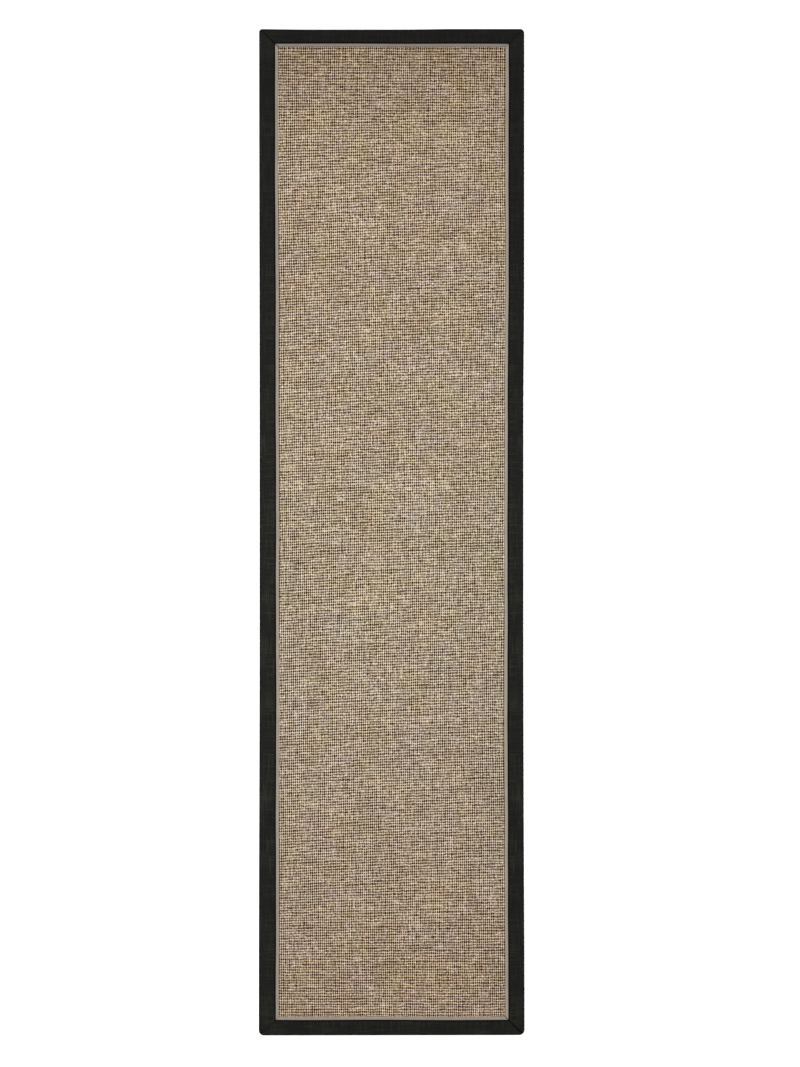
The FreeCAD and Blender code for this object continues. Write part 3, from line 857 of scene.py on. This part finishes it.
class Tree:
    """Builds one material's nodes."""

    def __init__(self, name):
        self.material = bpy.data.materials.new(name)
        self.material.use_nodes = True
        self.nodes = self.material.node_tree.nodes
        self.shader = self.nodes["Principled BSDF"]

    def link(self, source, target):
        self.material.node_tree.links.new(source, target)

    def feed(self, socket, value):
        """Links an output socket to an input, or sets the input's value."""
        if isinstance(value, bpy.types.NodeSocket):
            self.link(value, socket)
        else:
            socket.default_value = value

    def maths(self, operation, first, second=0.0, clamp=False):
        node = self.nodes.new("ShaderNodeMath")
        node.operation = operation
        node.use_clamp = clamp
        self.feed(node.inputs[0], first)
        self.feed(node.inputs[1], second)
        return node.outputs[0]

    def uv(self, name):
        """The two coordinates of a UV map."""
        source = self.nodes.new("ShaderNodeUVMap")
        source.uv_map = name
        split = self.nodes.new("ShaderNodeSeparateXYZ")
        self.link(source.outputs[0], split.inputs[0])
        return split.outputs[:2]

    def vector(self, x, y, z=0.0):
        node = self.nodes.new("ShaderNodeCombineXYZ")
        for socket, value in zip(node.inputs, (x, y, z)):
            self.feed(socket, value)
        return node.outputs[0]

    def scaled(self, value, factor):
        return self.maths("MULTIPLY", value, factor)

    def stretched(self, u, v, times_u, times_v, shift=0.0):
        """A place to read noise at, each coordinate scaled by its own factor."""
        return self.vector(self.scaled(u, times_u), self.scaled(v, times_v), shift)

    def object_place(self):
        return self.nodes.new("ShaderNodeTexCoord").outputs["Object"]

    def noise(self, vector, scale=1.0, detail=2.0, roughness=0.5):
        node = self.nodes.new("ShaderNodeTexNoise")
        node.inputs["Scale"].default_value = scale
        node.inputs["Detail"].default_value = detail
        node.inputs["Roughness"].default_value = roughness
        self.link(vector, node.inputs["Vector"])
        return node.outputs["Fac"]

    def random(self, x, y, z):
        """A random number for each set of whole coordinates."""
        node = self.nodes.new("ShaderNodeTexWhiteNoise")
        node.noise_dimensions = "3D"
        self.link(self.vector(x, y, z), node.inputs["Vector"])
        return node.outputs["Value"]

    def ramp(self, value, stops):
        """A colour ramp; stops are (place, (red, green, blue))."""
        node = self.nodes.new("ShaderNodeValToRGB")
        while len(node.color_ramp.elements) < len(stops):
            node.color_ramp.elements.new(1.0)
        for element, (place, colour) in zip(node.color_ramp.elements, stops):
            element.position = place
            element.color = (*colour, 1.0)
        self.feed(node.inputs[0], value)
        return node.outputs[0]

    def span(self, value, low, high, to_low=0.0, to_high=1.0):
        """Maps a value's range onto another, clamped."""
        node = self.nodes.new("ShaderNodeMapRange")
        limits = {"From Min": low, "From Max": high, "To Min": to_low, "To Max": to_high}
        for name, limit in limits.items():
            node.inputs[name].default_value = limit
        self.feed(node.inputs["Value"], value)
        return node.outputs[0]

    def mix(self, share, first, second, blend="MIX"):
        node = self.nodes.new("ShaderNodeMix")
        node.data_type = "RGBA"
        node.blend_type = blend
        self.feed(node.inputs[0], share)
        for socket, value in zip(node.inputs[6:8], (first, second)):
            if isinstance(value, tuple):
                value = (*value, 1.0)
            self.feed(socket, value)
        return node.outputs[2]

    def times(self, first, second):
        """Two colours multiplied."""
        return self.mix(1.0, first, second, "MULTIPLY")

    def point_value(self, name):
        node = self.nodes.new("ShaderNodeAttribute")
        node.attribute_name = name
        return node.outputs["Fac"]

    def bump(self, height, distance, strength):
        node = self.nodes.new("ShaderNodeBump")
        node.inputs["Strength"].default_value = strength
        node.inputs["Distance"].default_value = distance
        self.link(height, node.inputs["Height"])
        self.link(node.outputs[0], self.shader.inputs["Normal"])

    def finish(self, colour, roughness, sheen=0.0, specular=0.15):
        self.feed(self.shader.inputs["Base Color"], colour)
        self.feed(self.shader.inputs["Roughness"], roughness)
        self.feed(self.shader.inputs["Specular IOR Level"], specular)
        self.shader.inputs["Sheen Weight"].default_value = sheen
        self.shader.inputs["Sheen Roughness"].default_value = 0.5
        return self.material


def painted_light_falloff(t, u, v):
    """Painted light: the yarn is lighter in the middle of the rug, and darker and browner towards both
    ends, most at the head, and a little darker along the sides."""
    lengthways = t.ramp(
        t.span(t.scaled(v, ROW_PITCH / HALF_LENGTH), -1.0, 1.0),
        (
            (0.00, (0.964, 0.875, 0.807)),
            (0.12, (0.977, 0.923, 0.883)),
            (0.28, (0.980, 0.965, 0.955)),
            (0.46, (1.002, 1.006, 0.961)),
            (0.68, (1.035, 1.015, 0.981)),
            (0.88, (1.053, 0.995, 0.935)),
            (0.94, (0.959, 0.882, 0.823)),
            (0.97, (0.888, 0.797, 0.737)),
        ),
    )
    off_middle = t.maths("ABSOLUTE", t.scaled(u, COLUMN_PITCH / HALF_WIDTH))
    return t.times(lengthways, t.span(off_middle, 0.45, 0.85, 1.01, 0.965))


@cache
def woven_material():
    """Sisal-coloured yarns: weft and warp each with their own streaks and fibres, painted light that is
    brightest in the middle of the rug, and painted shade that is darkest in the pits.
    """
    t = Tree("woven_yarn")
    u, v = t.uv("weave")
    column = t.maths("FLOOR", u)
    row = t.maths("FLOOR", v)
    across_column = t.maths("ABSOLUTE", t.maths("SUBTRACT", t.maths("FRACT", u), 0.5))
    across_row = t.maths("ABSOLUTE", t.maths("SUBTRACT", t.maths("FRACT", v), 0.5))
    parity = t.maths("FLOORED_MODULO", t.maths("ADD", column, row), 2.0)
    weft_cell = t.maths("LESS_THAN", parity, 0.5)
    in_row = t.maths("LESS_THAN", across_row, 0.41)
    in_column = t.maths("LESS_THAN", across_column, 0.40)
    weft_above = t.maths("MULTIPLY", weft_cell, in_row)
    warp_away = t.maths("SUBTRACT", 1.0, t.maths("MAXIMUM", weft_cell, in_column))
    weft_shown = t.maths("MAXIMUM", weft_above, warp_away)

    weft_streak = t.noise(t.stretched(u, row, 0.16, 5.3), detail=3.0, roughness=0.6)
    warp_streak = t.noise(t.stretched(column, v, 5.7, 0.12, 9.0), detail=3.0, roughness=0.6)
    cell_value = t.random(column, row, 3.0)
    weft_hue = t.random(t.maths("FLOOR", t.scaled(u, 0.34)), row, 7.0)
    warp_hue = t.random(column, t.maths("FLOOR", t.scaled(v, 0.4)), 11.0)

    hues = (
        (0.00, (0.374, 0.311, 0.248)),
        (0.18, (0.423, 0.363, 0.319)),
        (0.38, (0.449, 0.401, 0.364)),
        (0.55, (0.426, 0.371, 0.305)),
        (0.72, (0.385, 0.347, 0.264)),
        (0.88, (0.501, 0.448, 0.386)),
        (1.00, (0.340, 0.305, 0.235)),
    )
    weft_colour = t.ramp(weft_hue, hues)
    warp_colour = t.ramp(warp_hue, hues)
    yarn = t.mix(weft_shown, warp_colour, weft_colour)
    streak = t.mix(weft_shown, warp_streak, weft_streak)
    tone = t.span(streak, 0.30, 0.70, 0.945, 1.065)
    tone = t.maths("MULTIPLY", tone, t.span(cell_value, 0.0, 1.0, 0.945, 1.065))

    weft_fibre = t.noise(t.stretched(u, v, 5.0, 34.0), detail=3.0, roughness=0.7)
    warp_fibre = t.noise(t.stretched(u, v, 27.0, 6.0, 4.0), detail=3.0, roughness=0.7)
    fibre = t.mix(weft_shown, warp_fibre, weft_fibre)
    tone = t.maths("MULTIPLY", tone, t.span(fibre, 0.25, 0.75, 0.78, 1.20))
    # The yarn's colour takes painted light: lighter in the middle of the rug, darker towards its ends and
    # sides.
    yarn = t.times(t.times(yarn, tone), painted_light_falloff(t, u, v))
    drift = t.noise(t.stretched(u, v, 0.05, 0.07, 21.0), detail=4.0, roughness=0.62)
    drift_tint = t.ramp(drift, ((0.30, (1.01, 1.0, 0.90)), (0.70, (0.99, 1.0, 1.10))))
    blush = t.noise(t.stretched(u, v, 0.05, 0.07, 33.0), detail=4.0, roughness=0.62)
    blush_tint = t.ramp(blush, ((0.30, (1.02, 0.98, 0.995)), (0.70, (0.98, 1.02, 1.005))))
    yarn = t.times(yarn, t.times(drift_tint, blush_tint))

    # Painted shade: the deeper a point lies among the yarns, the darker it is painted, near black in the
    # pits.
    shade = t.ramp(
        t.point_value("pit_shade"),
        (
            (0.05, (1.0, 1.0, 1.0)),
            (0.12, (0.93, 0.91, 0.865)),
            (0.20, (0.65, 0.575, 0.43)),
            (0.27, (0.29, 0.190, 0.055)),
            (0.335, (0.038, 0.012, 0.000)),
        ),
    )
    t.bump(fibre, 0.6 * MM, 0.6)
    return t.finish(t.times(yarn, shade), t.span(fibre, 0.2, 0.8, 0.95, 0.78), sheen=0.05)


def ridges(t, value, pitch):
    """Rounded ridges, pitch apart."""
    return t.maths("ABSOLUTE", t.maths("SINE", t.scaled(value, math.pi / pitch)))


def plain_weave(t, u, v, pitch):
    """Height of a fine plain weave: threads over and under, pitch apart."""
    turns = math.pi / pitch
    wave_u = t.maths("SINE", t.scaled(u, turns))
    wave_v = t.maths("SINE", t.scaled(v, turns))
    over = t.maths("MULTIPLY", wave_u, wave_v)
    rib_u = t.maths("ABSOLUTE", t.maths("COSINE", t.scaled(u, turns)))
    rib_v = t.maths("ABSOLUTE", t.maths("COSINE", t.scaled(v, turns)))
    gaps = t.maths("MAXIMUM", rib_u, rib_v)
    return t.maths("SUBTRACT", t.scaled(over, 0.35), t.scaled(t.maths("POWER", gaps, 3.0), 0.65))


@cache
def canvas_material():
    """Black cotton canvas dusted with lint, with painted light along the rug and painted shade in its
    weave and creases.
    """
    t = Tree("black_canvas")
    u, v = t.uv("cloth")
    weave = plain_weave(t, u, v, 1.1 * MM)
    place = t.vector(u, v)
    slub_u = t.noise(t.stretched(u, v, 14.0, 420.0))
    slub_v = t.noise(t.stretched(u, v, 420.0, 14.0, 5.0))
    slub = t.maths("MAXIMUM", slub_u, slub_v)
    cloud = t.noise(place, 9.0, 3.0)
    lint = t.noise(place, 900.0, 2.0, 0.7)
    colour = t.ramp(
        t.maths("ADD", t.scaled(slub, 0.7), t.scaled(cloud, 0.35)),
        (
            (0.49, (0.0010, 0.0010, 0.0005)),
            (0.57, (0.0047, 0.0045, 0.0027)),
            (0.66, (0.0172, 0.0168, 0.0122)),
        ),
    )
    colour = t.times(colour, t.point_value("tone"))
    # Painted shade in the gaps between the canvas's threads.
    colour = t.mix(t.span(weave, -0.7, 0.2, 0.55, 0.0), colour, (0.003, 0.0028, 0.0024))
    colour = t.mix(t.span(lint, 0.66, 0.80, 0.0, 0.20), colour, (0.08, 0.076, 0.068))
    # Painted shade in the creases: in the ditch at the seam, round the fold and at the mitres.
    crease_shade = t.point_value("crease_shade")
    colour = t.mix(crease_shade, colour, (0.0002, 0.0002, 0.0001))
    t.bump(t.maths("ADD", weave, t.scaled(slub, 0.6)), 0.35 * MM, 0.7)
    rough = t.maths("ADD", t.span(cloud, 0.3, 0.7, 0.62, 0.72), t.scaled(crease_shade, 0.38), clamp=True)
    return t.finish(colour, rough, specular=0.10)


@cache
def accent_material():
    """Taupe cotton tape with a fine rib across it."""
    t = Tree("taupe_tape")
    u, v = t.uv("cloth")
    rib = ridges(t, u, 0.8 * MM)
    weave = plain_weave(t, u, v, 0.8 * MM)
    cloud = t.noise(t.vector(u, v), 18.0, 3.0)
    slub = t.noise(t.stretched(u, v, 500.0, 60.0))
    colour = t.ramp(
        t.maths("ADD", t.scaled(cloud, 0.6), t.scaled(slub, 0.4)),
        ((0.30, (0.199, 0.173, 0.144)), (0.50, (0.246, 0.215, 0.181)), (0.70, (0.285, 0.254, 0.215))),
    )
    colour = t.times(colour, t.point_value("tone"))
    # Painted shade in the gaps between the tape's threads.
    colour = t.mix(t.span(weave, -0.6, 0.0, 0.5, 0.0), colour, (0.12, 0.102, 0.085))
    # Painted shade in the creases: in the ditch beside the border, on the roll of the fold and at the
    # mitres.
    colour = t.mix(t.point_value("crease_shade"), colour, (0.030, 0.024, 0.019))
    t.bump(t.maths("ADD", weave, t.scaled(rib, 0.5)), 0.3 * MM, 0.6)
    return t.finish(colour, t.span(slub, 0.3, 0.7, 0.9, 0.78), sheen=0.05)


@cache
def latex_material():
    """Cream latex with the scrim's grid and the weave telegraphing through."""
    t = Tree("latex_coat")
    x, y = t.uv("cloth")
    scrim = t.maths("MINIMUM", ridges(t, x, 4.0 * MM), ridges(t, y, 4.0 * MM))
    place = t.vector(x, y)
    froth = t.noise(place, 420.0, 4.0, 0.65)
    cloud = t.noise(place, 7.0, 4.0)
    colour = t.ramp(
        t.maths("ADD", t.scaled(cloud, 0.6), t.scaled(froth, 0.4)),
        ((0.32, (0.48, 0.42, 0.32)), (0.50, (0.60, 0.54, 0.43)), (0.68, (0.70, 0.65, 0.54))),
    )
    colour = t.mix(t.span(scrim, 0.0, 0.30, 0.35, 0.0), colour, (0.42, 0.36, 0.27))
    t.bump(t.maths("ADD", t.scaled(scrim, -0.4), froth), 0.5 * MM, 0.7)
    return t.finish(colour, t.span(froth, 0.3, 0.7, 0.72, 0.55))


@cache
def thread_material():
    """Black spun thread, twisted."""
    t = Tree("black_thread")
    fuzz = t.noise(t.object_place(), 2600.0, 3.0, 0.6)
    colour = t.ramp(fuzz, ((0.3, (0.007, 0.0066, 0.006)), (0.7, (0.022, 0.021, 0.019))))
    t.bump(fuzz, 0.2 * MM, 0.6)
    return t.finish(colour, t.span(fuzz, 0.3, 0.7, 0.85, 0.6))


@cache
def glue_material():
    """Set hot melt: yellowish, with bubbles."""
    t = Tree("hot_melt")
    bubbles = t.noise(t.object_place(), 700.0, 3.0)
    colour = t.ramp(bubbles, ((0.35, (0.55, 0.46, 0.28)), (0.65, (0.72, 0.66, 0.48))))
    t.bump(bubbles, 0.3 * MM, 0.5)
    return t.finish(colour, t.span(bubbles, 0.3, 0.7, 0.5, 0.35))


@cache
def floor_material():
    t = Tree("pale_floor")
    cloud = t.noise(t.object_place(), 0.8, 2.0)
    colour = t.ramp(cloud, ((0.3, (0.90, 0.90, 0.90)), (0.7, (0.92, 0.92, 0.92))))
    return t.finish(colour, t.span(cloud, 0.3, 0.7, 0.95, 0.9))


# Stage, light and camera.


def make_stage():
    half = 40.0
    points = [(-half, -half, 0.0), (half, -half, 0.0), (half, half, 0.0), (-half, half, 0.0)]
    mesh = bpy.data.meshes.new("floor")
    mesh.from_pydata(points, [], [(0, 1, 2, 3)])
    floor = bpy.data.objects.new("floor", mesh)
    bpy.context.scene.collection.objects.link(floor)
    floor.location.z = -0.2 * MM
    floor.data.materials.append(floor_material())


def make_light():
    """A soft square lamp that looks straight down, in an even white surround."""
    light = bpy.data.lights.new("softbox", "AREA")
    light.shape = "SQUARE"
    light.size = 2.6
    light.energy = 225.0
    lamp = bpy.data.objects.new("softbox", light)
    lamp.location = (-0.6, 0.0, 3.8)
    lamp.visible_camera = False
    bpy.context.scene.collection.objects.link(lamp)
    world = bpy.data.worlds.new("studio")
    world.use_nodes = True
    background = world.node_tree.nodes["Background"]
    background.inputs["Color"].default_value = (1.0, 1.0, 1.0, 1.0)
    background.inputs["Strength"].default_value = 0.62
    bpy.context.scene.world = world
    bpy.context.scene.view_settings.view_transform = "Standard"


def make_camera():
    """Looks straight down, from a little to the right of the rug's middle."""
    camera = bpy.data.cameras.new("camera")
    camera.lens = 85.0
    camera.sensor_width = 36.0
    field_height = 3.0697
    distance = field_height * camera.lens / camera.sensor_width
    lens = bpy.data.objects.new("camera", camera)
    lens.location = (24.0 * MM, -3.6 * MM, WEAVE_TOP + distance)
    bpy.context.scene.collection.objects.link(lens)
    bpy.context.scene.camera = lens


make_woven_face()
make_backing()
for edge in EDGES:
    make_border(edge)
    make_accent(edge)
    make_seam_thread(edge)
    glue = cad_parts[f"hem_glue_{edge}"]
    glue.data.materials.clear()
    glue.data.materials.append(glue_material())
for corner in CORNERS:
    make_corner_stitches(corner)
make_stage()
make_light()
make_camera()
